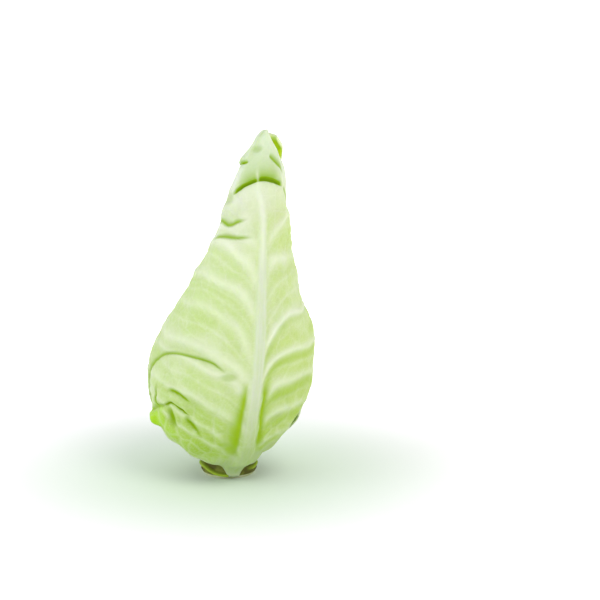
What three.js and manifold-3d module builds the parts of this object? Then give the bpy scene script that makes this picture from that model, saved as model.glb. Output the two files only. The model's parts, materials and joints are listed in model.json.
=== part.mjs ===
// A pointed spring cabbage, picked and trimmed: one whole head that stands on its cut stalk.
// Millimetres, +Z up. The origin is the centre of the stalk's cut face. The front is -Y, and azimuth 0
// faces it: azimuths grow towards +X.
//
// The head is a set of leaves laid one over another round a tightly folded heart. Every leaf is drawn on the
// same pointed envelope, shrunk towards one point inside the head, so that no two leaves can meet.

import * as THREE from "three";
import { mergeVertices } from "three/addons/utils/BufferGeometryUtils.js";
import Module from "manifold-3d";

const wasm = await Module();
wasm.setup();

// Driving dimensions
const HEAD_HEIGHT = 215;
const HEAD_RADIUS = 51; // at the belly, without the ribs
const FOCUS_HEIGHT = 60; // of the point that the layers shrink towards
const LAYER_PITCH = 1.8; // from one leaf to the next one in
const BLADE = 0.9; // thickness of a leaf between its veins
const LOOSE = 0.7; // how far the outermost leaf stands off the one under it

// The lean: the head is upright to LEAN_START, and then tips towards +X.
const LEAN_START = 66;
const LEAN_SLOPE = 0.168;
const LEAN_EASE = 20;

// The stalk, with the tapered core that it sends up into the heart.
const STALK_FACE_RADIUS = 15.4;
const STALK_RADIUS = 16.4;
const LEAF_SEAT = [15.5, 11]; // radius and height at which the outermost leaf meets the stalk
const STALK_CLEARANCE = 0.5; // between the stalk and the leaves' feet
const CORE_START = 20;
const CORE_TIP = 76;
const SOCKET_GAP = 0.35; // all round the core, inside the heart
const STALK_SIDES = 36;

// Half of the envelope's section, from the stalk to the point: radius and height. The outermost leaf's
// thickness and its hood stand on it, so it stops short of the full height.
const ENVELOPE_TOP = HEAD_HEIGHT - 5;
const ENVELOPE = [
  LEAF_SEAT,
  [28.5, 14.2],
  [35, 21.5],
  [42.3, 32],
  [48, 49],
  [HEAD_RADIUS - 0.4, 68],
  [46.4, 90],
  [36.9, 111],
  [27.2, 133],
  [19.9, 156],
  [16.4, 176],
  [12.2, 191],
  [8.2, 202],
  [3.8, 208.4],
  [0.4, ENVELOPE_TOP],
].map(([radius, height]) => new THREE.Vector3(radius, 0, height));

const envelope = new THREE.CatmullRomCurve3(ENVELOPE, false, "catmullrom", 0.5);
envelope.arcLengthDivisions = 600;
const ENVELOPE_LENGTH = envelope.getLength();

const { sin, cos, sqrt, abs, exp, max, PI } = Math;
const radians = THREE.MathUtils.degToRad;
const clamp = THREE.MathUtils.clamp;
const mix = THREE.MathUtils.lerp;
const ease = THREE.MathUtils.smoothstep; // ease(x, from, to)
const hump = (x) => exp(-(x * x));

// The envelope's radius, height and outward normal at a distance along it from the stalk.
function section(along) {
  const share = clamp(along / ENVELOPE_LENGTH, 0, 1);
  const p = envelope.getPointAt(share);
  const t = envelope.getTangentAt(share);
  return { radius: p.x, height: p.z, normal: new THREE.Vector2(t.z, -t.x).normalize() };
}

// A head is never quite round: slow swells, the same for every layer, which die away at the stalk and the tip.
const SWELL_HEIGHTS = [8, 45, 165, 205];

function swell(azimuth, height) {
  const [start, full, fade, end] = SWELL_HEIGHTS;
  const up = height / HEAD_HEIGHT;
  const waves =
    0.022 * cos(2 * azimuth - 0.9 + 1.5 * up) +
    0.016 * cos(3 * azimuth + 0.8 + 4 * up) +
    0.012 * sin(5 * azimuth + 9 * up);
  return 1 + waves * ease(height, start, full) * (1 - ease(height, fade, end));
}

function lean(height) {
  const past = height - LEAN_START;
  const bend = (h) => 0.5 * LEAN_SLOPE * (h + sqrt(h * h + LEAN_EASE * LEAN_EASE));
  return bend(past) - bend(-LEAN_START);
}

// The point at an azimuth, a distance along the envelope, and a depth: 0 on the envelope, negative inside it.
// What is raised on a leaf stands square to the envelope there.
function place(azimuth, along, depth, raised = 0) {
  const { radius, height, normal } = section(along);
  const scale = (1 + depth / HEAD_RADIUS) * swell(azimuth, height);
  const z = FOCUS_HEIGHT + scale * (height - FOCUS_HEIGHT) + raised * normal.y;
  const r = scale * radius + raised * normal.x;
  return new THREE.Vector3(r * sin(azimuth) + lean(z), -r * cos(azimuth), z);
}

// Leaves

// u runs across a leaf, from -1 to 1 with the midrib at 0, and v along it, from 0 at the stalk to 1 at the tip.
// Lines of equal v sweep up towards the margins, as the side veins do.
const FOOT_SHARE = 0.42; // of the half width that is leaf stalk, at v = 0, unless a leaf has its own
const FOOT_END = 0.18; // the v at which the leaf stalk has widened into the blade
const LOBE_RISE = 44; // of the lower margin, from the stalk to its far end
const VEIN_RISE = 38; // of a side vein, half way up the leaf
const EDGE_WAVES = 7; // along each margin
const EDGE_WAVE = 0.016; // share of the leaf's width that they take
const TURN_END = 0.27; // the v up to which a midrib can be turned aside while the leaf's margins stay

function riseAcross(leaf, u, v) {
  const share = u < 0 ? (leaf.footShareLeft ?? FOOT_SHARE) : FOOT_SHARE;
  const foot = max(0, abs(u) - share) / (1 - share);
  const across = mix(foot ** 0.8, abs(u) ** 1.15, ease(v, 0, FOOT_END));
  const drop = u < 0 ? leaf.dropLeft : leaf.dropRight;
  const reach = v < 0.5 ? mix(LOBE_RISE, VEIN_RISE, v / 0.5) : mix(VEIN_RISE, -drop, (v - 0.5) / 0.5);
  return across * reach;
}

function turned(leaf, v) {
  return (leaf.turn ?? 0) * (1 - ease(v, 0, TURN_END));
}

function midrib(leaf, v) {
  return mix(leaf.foot, leaf.point, v) + leaf.sway * sin(PI * v) + turned(leaf, v);
}

function leafPlace(leaf, u, v) {
  const [belly, top] = u < 0 ? leaf.wrapLeft : leaf.wrapRight;
  const wave = 1 + EDGE_WAVE * sin(2 * PI * EDGE_WAVES * v + leaf.depth);
  const wrap = mix(belly, top, ease(v, 0.4, 0.85)) * (1 - 0.16 * (1 - v) ** 3) * wave;
  const stays = turned(leaf, v) * (1 - (1 - abs(u)) ** 2);
  const azimuth = radians(midrib(leaf, v) - stays + u * wrap);
  const along = leaf.tip * ENVELOPE_LENGTH * v + riseAcross(leaf, u, v);
  return { azimuth, along };
}

// The midrib stands out of the leaf's outer face: wide and thick at the stalk, thin before the tip.
const RIB_WIDTHS = [9.4, 3.4]; // low down and at the tip
const RIB_FLARE = 5; // how much wider it is at the very foot
const FLARE_SHARE = 0.05; // of the leaf's length that the flare takes

function ribHeight(leaf, u, v) {
  const { azimuth, along } = leafPlace(leaf, u, v);
  const beside = abs(azimuth - radians(midrib(leaf, v))) * section(along).radius;
  const half = (mix(...RIB_WIDTHS, v) + RIB_FLARE * hump(v / FLARE_SHARE)) / 2;
  return leaf.rib * (1 - v) ** 1.4 * (1 - ease(beside, 0.5 * half, 1.35 * half));
}

// Side veins, alternate on the two sides of the midrib, as low ridges that the blade puffs out between.
const VEINS = 8; // along each side
const VEIN_HEIGHT = 0.9;

function veinHeight(leaf, u, v) {
  const turn = VEINS * v + (u < 0 ? 0.5 : 0);
  const ridge = max(0, cos(2 * PI * turn)) ** 2;
  const along = ease(v, 0.06, 0.16) * (1 - ease(v, 0.6, 0.8));
  const across = ease(abs(u), 0.02, 0.1) * (1 - ease(abs(u), 0.6, 0.95));
  return leaf.veins * VEIN_HEIGHT * ridge * along * across;
}

// A buckled fold: the leaf above a crease swells out and hangs over it. The crease runs from one azimuth to
// another, arched between its two end heights.
const FOLD_LIP = 3.5; // how far below the crease the swelling has gone

function foldHeight(fold, azimuth, height) {
  const t = (azimuth - radians(fold.from)) / radians(fold.to - fold.from);
  if (t <= 0 || t >= 1) return 0;
  const crease = mix(...fold.heights, t) + fold.arch * 4 * t * (1 - t);
  const above = height - crease;
  const reach = above > 0 ? fold.reach : FOLD_LIP;
  return fold.swell * sin(PI * t) * hump(above / reach);
}

// A loose margin lifts off the head and waves. It does so between two shares of the leaf's length.
function marginLift(leaf, u, v) {
  const lifts = (u < 0 ? leaf.liftsLeft : leaf.liftsRight) ?? [];
  const edge = ease(abs(u), 0.7, 1);
  let total = 0;
  for (const { lift, between, waves } of lifts) {
    const span = ease(v, between[0] - 0.06, between[0] + 0.06) * (1 - ease(v, between[1] - 0.06, between[1] + 0.06));
    total += lift * edge * span * (0.65 + 0.35 * sin(2 * PI * waves * v));
  }
  return total;
}

// How far the blade stands off its own layer.
function bladeHeight(leaf, u, v) {
  const { azimuth, along } = leafPlace(leaf, u, v);
  const { height } = section(along);
  let raised = marginLift(leaf, u, v);
  for (const fold of leaf.folds ?? []) raised += foldHeight(fold, azimuth, height);
  return raised;
}

// Positions of the columns across a leaf: close together over the midrib, wider out to the margins.
function columnPositions([left, right]) {
  const side = (count) => Array.from({ length: count }, (_, i) => ((i + 1) / count) ** 1.5);
  return [...side(left).map((u) => -u).reverse(), 0, ...side(right)];
}

// Positions of the rows along a leaf: closer together where it is folded.
const CROWD_WIDTH = 0.06;

function rowPositions(leaf) {
  const steps = 500;
  const sums = [0];
  for (let i = 0; i < steps; i++) {
    const v = (i + 0.5) / steps;
    let density = 1;
    for (const fold of leaf.folds ?? []) density += fold.crowd * hump((v - fold.at) / CROWD_WIDTH);
    sums.push(sums[i] + density);
  }
  const rows = [];
  for (let j = 0; j <= leaf.rows; j++) {
    const target = (sums[steps] * j) / leaf.rows;
    const i = clamp(sums.findIndex((sum) => sum >= target), 1, steps);
    rows.push((i - 1 + (target - sums[i - 1]) / (sums[i] - sums[i - 1])) / steps);
  }
  return rows;
}

// A closed thin solid from two sheets of points, given as rows of equal length. Both faces are split alike.
function sheetSolid(innerRows, outerRows) {
  const rows = innerRows.length;
  const cols = innerRows[0].length;
  const points = [...innerRows.flat(), ...outerRows.flat()];
  const at = (sheet, row, col) => sheet * rows * cols + row * cols + col;
  const faces = [];
  const quad = (a, b, c, d) => faces.push(a, b, c, a, c, d);
  for (let r = 0; r < rows - 1; r++) {
    for (let c = 0; c < cols - 1; c++) {
      quad(at(1, r, c), at(1, r, c + 1), at(1, r + 1, c + 1), at(1, r + 1, c));
      faces.push(at(0, r, c), at(0, r + 1, c + 1), at(0, r, c + 1));
      faces.push(at(0, r, c), at(0, r + 1, c), at(0, r + 1, c + 1));
    }
  }
  for (let c = 0; c < cols - 1; c++) {
    quad(at(0, 0, c), at(0, 0, c + 1), at(1, 0, c + 1), at(1, 0, c));
    quad(at(0, rows - 1, c + 1), at(0, rows - 1, c), at(1, rows - 1, c), at(1, rows - 1, c + 1));
  }
  for (let r = 0; r < rows - 1; r++) {
    quad(at(0, r + 1, 0), at(0, r, 0), at(1, r, 0), at(1, r + 1, 0));
    quad(at(0, r, cols - 1), at(0, r + 1, cols - 1), at(1, r + 1, cols - 1), at(1, r, cols - 1));
  }
  return indexed(points, faces);
}

function indexed(points, faces) {
  return new THREE.BufferGeometry()
    .setAttribute("position", new THREE.Float32BufferAttribute(points.flatMap((p) => p.toArray()), 3))
    .setIndex(faces);
}

function leafGeometry(leaf) {
  const columns = columnPositions(leaf.columns);
  const rows = rowPositions(leaf);
  const sheet = (thickness, relief) =>
    rows.map((v) =>
      columns.map((u) => {
        const { azimuth, along } = leafPlace(leaf, u, v);
        return place(azimuth, along, leaf.depth + thickness, bladeHeight(leaf, u, v) + relief(u, v));
      }),
    );
  return sheetSolid(
    sheet(0, () => 0),
    sheet(BLADE, (u, v) => ribHeight(leaf, u, v) + veinHeight(leaf, u, v)),
  );
}

// The wrapper leaves, from the outermost in. Angles are in degrees. A wrap is how far the leaf reaches round
// the head on that side of its midrib, at the belly and near the top. A drop is how far its margin falls from
// the tip. The front leaf winds round the point of the head as a hood.
const LEAVES = [
  {
    name: "front_leaf",
    foot: -8,
    point: -2,
    sway: 28,
    turn: 19,
    footShareLeft: 0.14,
    wrapLeft: [112, 236],
    wrapRight: [76, 88],
    dropLeft: 3,
    dropRight: 15,
    tip: 1,
    rib: 3.2,
    veins: 1,
    extra: LOOSE,
    columns: [16, 12],
    rows: 38,
    liftsLeft: [
      { lift: 2.8, between: [-0.1, 0.16], waves: 11 },
      { lift: 3, between: [0.84, 0.95], waves: 0 },
    ],
    liftsRight: [
      { lift: 2, between: [0.05, 0.5], waves: 5 },
      { lift: 4, between: [0.5, 0.78], waves: 0 },
    ],
    folds: [
      { from: -84, to: 84, heights: [174, 176], arch: 11, swell: 3.8, reach: 13, at: 0.84, crowd: 2.2 },
      { from: -92, to: -8, heights: [56, 70], arch: 20, swell: 2.1, reach: 20, at: 0.34, crowd: 0.8 },
    ],
  },
  {
    name: "back_leaf",
    foot: 158,
    point: 165,
    sway: -8,
    wrapLeft: [98, 118],
    wrapRight: [86, 120],
    dropLeft: 10,
    dropRight: 10,
    tip: 0.97,
    rib: 3,
    veins: 0.8,
    columns: [12, 12],
    rows: 26,
    liftsRight: [{ lift: 2.5, between: [0.1, 0.5], waves: 5 }],
  },
  {
    name: "left_leaf",
    foot: -108,
    point: -112,
    sway: 6,
    wrapLeft: [84, 110],
    wrapRight: [88, 110],
    dropLeft: 12,
    dropRight: 12,
    tip: 0.955,
    rib: 2.6,
    veins: 0.5,
    columns: [12, 11],
    rows: 22,
  },
  {
    name: "right_leaf",
    foot: 62,
    point: 62,
    sway: 5,
    wrapLeft: [80, 110],
    wrapRight: [86, 110],
    dropLeft: 12,
    dropRight: 12,
    tip: 0.955,
    rib: 2,
    veins: 0,
    columns: [10, 10],
    rows: 20,
  },
  {
    name: "inner_back_leaf",
    foot: -165,
    point: -165,
    sway: -5,
    wrapLeft: [82, 105],
    wrapRight: [80, 105],
    dropLeft: 12,
    dropRight: 12,
    tip: 0.955,
    rib: 1.5,
    veins: 0,
    columns: [9, 9],
    rows: 17,
  },
  {
    name: "inner_front_leaf",
    foot: -22,
    point: -22,
    sway: 5,
    wrapLeft: [82, 105],
    wrapRight: [80, 105],
    dropLeft: 12,
    dropRight: 12,
    tip: 0.96,
    rib: 1.5,
    veins: 0,
    columns: [9, 9],
    rows: 17,
  },
];
LEAVES.forEach((leaf, layer) => {
  leaf.depth = -layer * LAYER_PITCH + (leaf.extra ?? 0);
});

// The heart: the tight inner leaves, grown into one dense body, with their edges and ribs raised on it.
const HEART_DEPTH = -(LEAVES.length * LAYER_PITCH) - 2.2;
const HEART_LEAVES = 5;
const HEART_REACH = 78; // degrees from a heart leaf's midrib to its margin
const HEART_EDGE = 0.26; // height of the step at each margin
const HEART_RIB = 0.7;
const HEART_AROUND = 40;
const HEART_UP = 22;
const GOLDEN_ANGLE = 137.5;

function heartRelief(azimuth, v) {
  const reach = radians(HEART_REACH) * sqrt(max(0, 1 - 0.8 * v * v));
  let relief = 0;
  for (let i = 0; i < HEART_LEAVES; i++) {
    const middle = radians(i * GOLDEN_ANGLE);
    const beside = Math.atan2(sin(azimuth - middle), cos(azimuth - middle));
    relief += HEART_EDGE * (1 - ease(abs(beside), reach - 0.14, reach + 0.14));
    relief += HEART_RIB * (1 - v) * hump(beside / 0.12);
  }
  return relief;
}

function heartGeometry() {
  const ring = (j) => 1 + j * HEART_AROUND;
  const foot = new THREE.Vector3(0, 0, place(0, 0, HEART_DEPTH).z);
  const points = [foot];
  for (let j = 0; j < HEART_UP; j++) {
    const v = j / HEART_UP;
    for (let i = 0; i < HEART_AROUND; i++) {
      const azimuth = (2 * PI * i) / HEART_AROUND;
      points.push(place(azimuth, v * ENVELOPE_LENGTH, HEART_DEPTH + heartRelief(azimuth, v)));
    }
  }
  const top = points.length;
  points.push(place(0, ENVELOPE_LENGTH, HEART_DEPTH));
  const faces = [];
  for (let i = 0; i < HEART_AROUND; i++) {
    const next = (i + 1) % HEART_AROUND;
    faces.push(0, ring(0) + next, ring(0) + i);
    for (let j = 0; j < HEART_UP - 1; j++) {
      const [a, b, c, d] = [ring(j) + i, ring(j) + next, ring(j + 1) + next, ring(j + 1) + i];
      faces.push(a, b, c, a, c, d);
    }
    faces.push(ring(HEART_UP - 1) + i, ring(HEART_UP - 1) + next, top);
  }
  return indexed(points, faces);
}

// The stalk and its core turn about the same upright axis. Between the cut face and the core its side runs
// along the leaves' feet, just clear of them. grow widens it on every side, for the socket.
function stalkGeometry(grow) {
  const [seatRadius, seatHeight] = LEAF_SEAT;
  const besideFeet = (height) =>
    (seatRadius * (FOCUS_HEIGHT - height)) / (FOCUS_HEIGHT - seatHeight) - STALK_CLEARANCE;
  const coreRadius = besideFeet(CORE_START);
  const up = (share) => mix(CORE_START, CORE_TIP, share);
  const side = [
    [STALK_FACE_RADIUS, 0],
    [STALK_RADIUS, 0.9],
    [besideFeet(3), 3],
    [coreRadius, CORE_START],
    [coreRadius * 0.88, up(0.35)],
    [coreRadius * 0.54, up(0.75)],
    [coreRadius * 0.2, up(0.96)],
  ];
  const outline = [
    new THREE.Vector2(0, 0),
    ...side.map(([radius, height]) => new THREE.Vector2(radius + grow, height)),
    new THREE.Vector2(0, CORE_TIP + grow),
  ];
  return new THREE.LatheGeometry(outline, STALK_SIDES).rotateX(PI / 2);
}

// Solids for cutting

function solidOf(geometry) {
  const bare = geometry.clone();
  bare.deleteAttribute("normal");
  bare.deleteAttribute("uv");
  const merged = mergeVertices(bare, 1e-4);
  return new wasm.Manifold(
    new wasm.Mesh({
      numProp: 3,
      vertProperties: new Float32Array(merged.attributes.position.array),
      triVerts: new Uint32Array(merged.index.array),
    }),
  );
}

function geometryOf(solid) {
  const mesh = solid.getMesh();
  return new THREE.BufferGeometry()
    .setAttribute("position", new THREE.BufferAttribute(mesh.vertProperties, mesh.numProp))
    .setIndex(new THREE.BufferAttribute(mesh.triVerts, 1));
}

// The head

const head = new THREE.Group();
const finish = (color, roughness) => new THREE.MeshStandardMaterial({ color, roughness, metalness: 0 });

function add(name, geometry, material) {
  const mesh = new THREE.Mesh(geometry, material);
  mesh.name = name;
  head.add(mesh);
}

add("stalk", stalkGeometry(0), finish(0xeef0d8, 0.6));
const heart = solidOf(heartGeometry()).subtract(solidOf(stalkGeometry(SOCKET_GAP)));
add("heart", geometryOf(heart), finish(0xf0e9a0, 0.55));
for (const leaf of LEAVES) add(leaf.name, leafGeometry(leaf), finish(0xd6e8b4, 0.5));

export default head;
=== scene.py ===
# %% [markdown]
# # A pointed spring cabbage
# A pointed cabbage is a bundle of leaves laid one over another round a tight heart. This lesson dresses a
# measured model of one head: each wrapper leaf is remade as a fine mesh with its midrib, side veins, buckled
# creases and waved margin, and then gets a leaf's finish. The head's outline and five of the six leaves
# keep the dimensions of the solids that they stand for. The front leaf, which shows most, has its own
# margins: its hood winds further round, and both margins fall further from the tip.

# %% Load the frame
import json
import math
from collections import namedtuple

import bmesh
import bpy
import numpy as np
from mathutils import Euler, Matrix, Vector

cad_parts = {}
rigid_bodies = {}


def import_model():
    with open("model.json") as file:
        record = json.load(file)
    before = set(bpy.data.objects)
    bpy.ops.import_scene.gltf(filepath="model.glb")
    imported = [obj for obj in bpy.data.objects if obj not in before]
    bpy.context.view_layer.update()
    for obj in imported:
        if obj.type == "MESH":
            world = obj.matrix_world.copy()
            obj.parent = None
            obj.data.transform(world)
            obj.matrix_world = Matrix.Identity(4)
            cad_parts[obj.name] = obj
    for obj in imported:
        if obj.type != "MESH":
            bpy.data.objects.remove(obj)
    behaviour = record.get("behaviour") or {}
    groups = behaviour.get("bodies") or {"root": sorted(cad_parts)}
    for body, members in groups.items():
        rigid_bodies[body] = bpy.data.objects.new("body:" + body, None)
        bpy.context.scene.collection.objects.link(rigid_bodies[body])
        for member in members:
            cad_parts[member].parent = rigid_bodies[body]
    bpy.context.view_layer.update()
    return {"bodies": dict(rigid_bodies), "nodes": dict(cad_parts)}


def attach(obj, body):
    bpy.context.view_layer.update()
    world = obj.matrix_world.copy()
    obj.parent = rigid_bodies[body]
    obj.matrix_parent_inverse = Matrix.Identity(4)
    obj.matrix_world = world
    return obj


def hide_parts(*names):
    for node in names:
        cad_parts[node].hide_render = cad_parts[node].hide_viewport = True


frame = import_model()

MM = 0.001
BODY = next(iter(frame["bodies"]))
print("body:", BODY, "nodes:", sorted(frame["nodes"]))

# %% [markdown]
# ## The camera
# The head is seen from a little above, at 12 degrees, and from far enough away that its upright lines
# hardly converge. The head stands left of the picture's middle. A shift of the lens would frame it so, but
# then every other view would be shifted too. So the camera itself is set to the right of the head, and not
# turned towards it. Its lens follows from the scale wanted at the head.

# %% The camera
def add_object(name, data):
    made = bpy.data.objects.new(name, data)
    bpy.context.collection.objects.link(made)
    return made


IMAGE_PIXELS = 600
ELEVATION = math.radians(12)
STALK_PIXEL = (229, 471)  # where the middle of the stalk's cut face lies in the picture
SCALE = 0.6186  # millimetres to a picture pixel, at the middle of the head
CAMERA_DISTANCE = 1200.0  # millimetres to the middle of the head
MIDDLE_DEPTH = 22.0  # how much nearer than the stalk's face the middle of the head is, along the view
SENSOR = 36.0

stalk_scale = SCALE * (CAMERA_DISTANCE + MIDDLE_DEPTH) / CAMERA_DISTANCE
across = (IMAGE_PIXELS / 2 - STALK_PIXEL[0]) * stalk_scale
up = (STALK_PIXEL[1] - IMAGE_PIXELS / 2) * stalk_scale
back = CAMERA_DISTANCE + MIDDLE_DEPTH
camera_data = bpy.data.cameras.new("camera")
camera_data.sensor_width = SENSOR
camera_data.lens = CAMERA_DISTANCE / SCALE * SENSOR / IMAGE_PIXELS
camera_data.clip_end = 50
camera = add_object("camera", camera_data)
camera.location = MM * Vector((
    across,
    up * math.sin(ELEVATION) - back * math.cos(ELEVATION),
    up * math.cos(ELEVATION) + back * math.sin(ELEVATION),
))
camera.rotation_euler = Euler((math.pi / 2 - ELEVATION, 0, 0))
bpy.context.scene.camera = camera
print("lens", round(camera_data.lens, 1), "mm")

# %% [markdown]
# ## The head's own surface
# Every leaf lies on one envelope: half of a pointed section, turned about an upright axis, swollen a little
# and leaning to one side. A place on a leaf is an azimuth, a distance along the section and a depth. A depth
# shrinks the envelope towards one point inside the head, so plain blades at different depths can't meet.
# What is raised on a leaf stands square to the envelope, and could still reach the next one. Whole arrays of
# points are worked out at once.

# %% The envelope
HEAD_HEIGHT = 215
HEAD_RADIUS = 51
FOCUS_HEIGHT = 60  # of the point that the layers shrink towards
LAYER_PITCH = 1.8
BLADE = 0.9  # a leaf's thickness between its veins
LOOSE = 0.7  # how far the outermost leaf stands off the next
LEAF_SEAT = (15.5, 11)  # radius and height where the outermost leaf meets the stalk
ENVELOPE = [  # radius and height, from the stalk to the point
    LEAF_SEAT, (28.5, 14.2), (35, 21.5), (42.3, 32), (48, 49), (HEAD_RADIUS - 0.4, 68), (46.4, 90),
    (36.9, 111), (27.2, 133), (19.9, 156), (16.4, 176), (12.2, 191), (8.2, 202), (3.8, 208.4),
    (0.4, HEAD_HEIGHT - 5),
]
SPAN_STEPS = 200  # points worked out between two given ones


def smooth_curve(points):
    """Points along the smooth curve through the given ones."""
    p = np.array(points, float)
    p = np.vstack([2 * p[0] - p[1], p, 2 * p[-1] - p[-2]])
    t = np.linspace(0, 1, SPAN_STEPS, endpoint=False)[:, None]
    spans = []
    for a, b, c, d in zip(p, p[1:], p[2:], p[3:]):
        start, end = (c - a) / 2, (d - b) / 2
        spans.append(b + start * t + (3 * (c - b) - 2 * start - end) * t**2
                     + (2 * (b - c) + start + end) * t**3)
    return np.vstack([*spans, p[-2:-1]])


curve = smooth_curve(ENVELOPE)
STATIONS = np.concatenate([[0], np.cumsum(np.linalg.norm(np.diff(curve, axis=0), axis=1))])
LENGTH = STATIONS[-1]
tangent = np.gradient(curve, STATIONS, axis=0)
tangent /= np.linalg.norm(tangent, axis=1)[:, None]


def ease(x, start, end):
    """0 before start, 1 after end, and a smooth step between them."""
    t = np.clip((np.asarray(x, float) - start) / (end - start), 0, 1)
    return t * t * (3 - 2 * t)


def hump(x):
    return np.exp(-np.square(x))


def mix(a, b, t):
    return a + (b - a) * t


def section(along):
    """The envelope's radius and height, and the two parts of its outward normal, at a distance along it."""
    table = (curve[:, 0], curve[:, 1], tangent[:, 1], -tangent[:, 0])
    return [np.interp(along, STATIONS, column) for column in table]


SWELL_HEIGHTS = (8, 45, 165, 205)  # where the swelling starts, is full, starts to fade and ends


def swell(azimuth, height):
    start, full, fade, end = SWELL_HEIGHTS
    rise = height / HEAD_HEIGHT
    waves = 0.022 * np.cos(2 * azimuth - 0.9 + 1.5 * rise)
    waves += 0.016 * np.cos(3 * azimuth + 0.8 + 4 * rise)
    waves += 0.012 * np.sin(5 * azimuth + 9 * rise)
    return 1 + waves * ease(height, start, full) * (1 - ease(height, fade, end))


LEAN_START, LEAN_SLOPE, LEAN_EASE = 66, 0.168, 20  # from which height, how steeply, how gently it starts


def lean(height):
    def bend(h):
        return 0.5 * LEAN_SLOPE * (h + np.sqrt(h * h + LEAN_EASE**2))

    return bend(height - LEAN_START) - bend(-LEAN_START)


def around(azimuth, r, z, aside=0.0):
    """Points, one row each, told by azimuth, distance from the upright axis and height."""
    return np.stack([r * np.sin(azimuth) + aside, -r * np.cos(azimuth), z], axis=1)


def place(azimuth, along, depth, raised=0.0):
    """Points of the head, in millimetres."""
    radius, height, out_r, out_z = section(along)
    scale = (1 + depth / HEAD_RADIUS) * swell(azimuth, height)
    z = FOCUS_HEIGHT + scale * (height - FOCUS_HEIGHT) + raised * out_z
    r = scale * radius + raised * out_r
    return around(azimuth, r, z, lean(z))


print("section", round(LENGTH, 1), "mm long")

# %% [markdown]
# ## Rough nature without chance
# A leaf is never smooth, but the same script has to give the same leaf each time. Two seeded helpers do it.
# Ripples are a few sine waves of nearly one length in seeded directions. The net gives each point its
# distance from the nearest vein of a net of irregular cells, which is how the fine veins of a leaf lie.

# %% Ripples and net
def ripples(x, y, length, seed, count=9):
    """Slow bumps about one length apart, between about -1 and 1."""
    draw = np.random.default_rng(seed)
    total = np.zeros_like(x)
    for _ in range(count):
        turn, phase = draw.uniform(0, 2 * math.pi, 2)
        k = 2 * math.pi / length * draw.uniform(0.7, 1.35)
        total += np.sin(k * (x * math.cos(turn) + y * math.sin(turn)) + phase)
    return total / math.sqrt(count)


def net(x, y, cell, seed):
    """How far each point is from the net's nearest line, in cells."""
    draw = np.random.default_rng(seed)
    size = 64
    jitter = draw.uniform(0.1, 0.9, (size, size, 2))
    px, py = x / cell, y / cell
    ix, iy = np.floor(px).astype(int), np.floor(py).astype(int)
    near = np.full((2, len(px)), 9.0)
    for dx in (-1, 0, 1):
        for dy in (-1, 0, 1):
            spot = jitter[(ix + dx) % size, (iy + dy) % size]
            d = np.hypot(ix + dx + spot[:, 0] - px, iy + dy + spot[:, 1] - py)
            near[1] = np.minimum(near[1], np.maximum(near[0], d))
            near[0] = np.minimum(near[0], d)
    return near[1] - near[0]


print("ripples and net ready")

# %% [markdown]
# ## Where a leaf lies
# Across a leaf u runs from -1 to 1 with the midrib at 0, and along it v runs from the stalk to the tip. A
# leaf is told by a few numbers: where its midrib starts and ends, how far it wraps round the head on each
# side, and how far its margins fall from the tip. Outlines drawn by hand would do too, but six leaves told
# by the same few numbers are easier to change. The front leaf's midrib also turns aside low down, while its
# margins stay where they are.

# %% Leaf outline
FOOT_SHARE, FOOT_END = 0.42, 0.18  # the foot's share of the width, and up to where it shapes the leaf
LOBE_RISE, VEIN_RISE = 44, 38  # how far the margins rise beside the stalk, and half way up the leaf
EDGE_WAVES, EDGE_WAVE = 7, 0.016  # how many waves a margin has, and how large
WRAP_CHANGE, FOOT_PINCH = (0.4, 0.85), 0.16  # where the wrap changes, and how much the foot is drawn in
TURN_END = 0.27  # up to where a midrib is turned aside


def turned(leaf, v):
    """Degrees that a midrib is turned aside near the stalk, while its leaf's margins stay."""
    return leaf.get("turn", 0) * (1 - ease(v, 0, TURN_END))


def midrib(leaf, v):
    bend = leaf["sway"] * np.sin(math.pi * v) + leaf.get("wander", 0) * np.sin(3 * math.pi * v)
    return mix(leaf["foot"], leaf["point"], v) + bend + turned(leaf, v)


def leaf_place(leaf, u, v):
    """Azimuth in radians and distance along the section."""
    left = u < 0
    belly, top = (np.where(left, a, b) for a, b in zip(leaf["wrap_left"], leaf["wrap_right"]))
    wave = 1 + EDGE_WAVE * np.sin(2 * math.pi * EDGE_WAVES * v + leaf["depth"])
    wrap = mix(belly, top, ease(v, *WRAP_CHANGE)) * (1 - FOOT_PINCH * (1 - v) ** 3) * wave
    stays = turned(leaf, v) * (1 - (1 - np.abs(u)) ** 2)
    azimuth = np.radians(midrib(leaf, v) - stays + u * wrap)
    share = np.where(left, leaf.get("foot_share_left", FOOT_SHARE), FOOT_SHARE)
    foot = np.maximum(0, np.abs(u) - share) / (1 - share)
    shape = mix(foot**0.8, np.abs(u) ** 1.15, ease(v, 0, FOOT_END))
    drop = np.where(left, leaf["drop"][0], leaf["drop"][1])
    reach = np.where(v < 0.5, mix(LOBE_RISE, VEIN_RISE, v / 0.5), mix(VEIN_RISE, -drop, (v - 0.5) / 0.5))
    return azimuth, leaf["tip"] * LENGTH * v + shape * reach


def crowded(count, spots):
    """Steps from 0 to 1, closer together round each spot: (place, width, how much closer)."""
    fine = np.linspace(0, 1, 1001)
    density = np.ones_like(fine)
    for at, width, more in spots:
        density += more * hump((fine - at) / width)
    total = np.concatenate([[0], np.cumsum((density[1:] + density[:-1]) / 2)])
    return np.interp(np.linspace(0, 1, count + 1), total / total[-1], fine)


print("leaf outline ready")
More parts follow.
